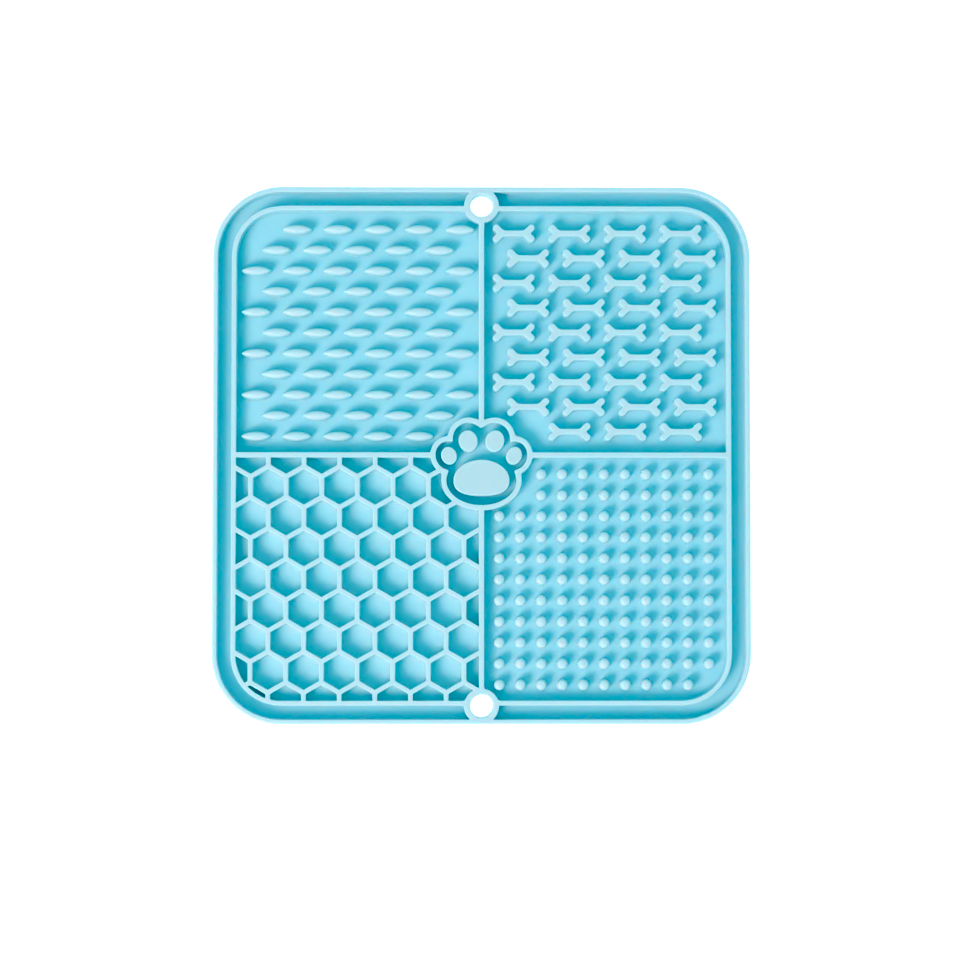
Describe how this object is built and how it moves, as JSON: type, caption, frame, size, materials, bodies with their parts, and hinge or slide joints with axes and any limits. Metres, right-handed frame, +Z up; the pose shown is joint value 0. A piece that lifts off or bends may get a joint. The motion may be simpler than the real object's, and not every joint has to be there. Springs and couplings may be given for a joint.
{
  "type": "lick mat",
  "caption": "Square moulded silicone lick mat: a rim and moat round textured bays of grains, bones, honeycomb and pegs, with a paw in the middle and eyelets in the moat.",
  "frame": {"origin": "middle of the flat underside", "axes": "+X to the right and +Y up the mat as it is pictured, with the bones in the upper right bay; +Z up out of the surface that it lies on"},
  "size_m": [0.2, 0.2, 0.008],
  "materials": {
    "silicone": "satin moulded silicone rubber, sky blue"
  },
  "bodies": {
    "root": {"mat": "silicone"}
  },
  "joints": []
}
